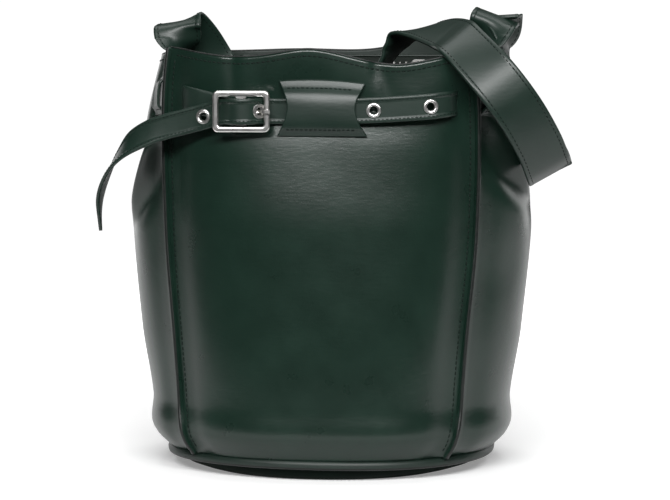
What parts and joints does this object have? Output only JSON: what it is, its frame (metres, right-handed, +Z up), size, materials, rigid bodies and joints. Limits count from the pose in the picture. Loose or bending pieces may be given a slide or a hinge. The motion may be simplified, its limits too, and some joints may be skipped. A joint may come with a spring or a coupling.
{
  "type": "bucket bag",
  "caption": "Open leather bucket bag with raised seams, a buckled belt round the front, a hanging inner zip pocket and a wide shoulder strap.",
  "frame": {"origin": "middle of the base, on the plane the bag stands on", "axes": "+Z up through the mouth, +X to the viewer's right along the width, front with the buckle toward -Y"},
  "size_m": [0.3073, 0.1921, 0.2971],
  "materials": {
    "green_leather": "smooth",
    "lining": "woven",
    "tape": "woven",
    "board": "matte",
    "silver": "polished"
  },
  "bodies": {
    "bag": {"front_panel": "green_leather", "back_panel": "green_leather", "left_gusset": "green_leather", "right_gusset": "green_leather", "base_panel": "green_leather", "base_welt": "green_leather", "seam_fin_front_left": "green_leather", "seam_fin_front_right": "green_leather", "seam_fin_back_left": "green_leather", "seam_fin_back_right": "green_leather", "rim_facing": "green_leather", "belt_strap": "green_leather", "buckle_strap": "green_leather", "patch_loop": "green_leather", "left_keeper": "green_leather", "right_keeper": "green_leather", "shoulder_strap": "green_leather", "strap_right_end": "green_leather", "belt_anchor_left": "green_leather", "belt_anchor_right": "green_leather", "strap_backing_left": "green_leather", "strap_backing_right": "green_leather", "pocket_ledge": "green_leather", "lining_wall": "lining", "lining_base": "lining", "pocket_front": "lining", "pocket_back": "lining", "zip_tapes": "tape", "base_board": "board", "eyelets": "silver", "eyelet_washers": "silver", "zip_teeth": "silver", "zip_stops": "silver"},
    "buckle": {"buckle_frame": "silver"},
    "tongue": {"buckle_tongue": "silver"},
    "tail": {"belt_tail": "green_leather"},
    "loop": {"strap_loop": "green_leather"},
    "slider": {"zip_slider": "silver"},
    "puller": {"zip_puller": "silver"}
  },
  "joints": [
    {"name": "buckle_rock", "type": "hinge", "parent": "bag", "child": "buckle", "pos_m": [-0.0456, -0.0926, 0.231], "axis": [0, 0, 1], "range_deg": [-1.2, 1.2]},
    {"name": "tongue_lift", "type": "hinge", "parent": "buckle", "child": "tongue", "pos_m": [-0.0456, -0.0926, 0.231], "axis": [0, 0, -1], "range_deg": [0, 2]},
    {"name": "tail_swing", "type": "hinge", "parent": "bag", "child": "tail", "pos_m": [-0.0765, -0.0845, 0.225], "axis": [0, 0, 1], "range_deg": [-6, 30], "stiffness_Nm_per_rad": 0.02},
    {"name": "loop_swing", "type": "hinge", "parent": "bag", "child": "loop", "pos_m": [0.0826, -0.0535, 0.2772], "axis": [-0.5538, -0.7768, 0.2999], "range_deg": [0, 20]},
    {"name": "zip_slide", "type": "slide", "parent": "bag", "child": "slider", "axis": [-1, 0, 0], "range_m": [0, 0.104]},
    {"name": "puller_turn", "type": "hinge", "parent": "slider", "child": "puller", "pos_m": [0.052, 0.0624, 0.257], "axis": [0, 0, -1], "range_deg": [0, 150]}
  ]
}
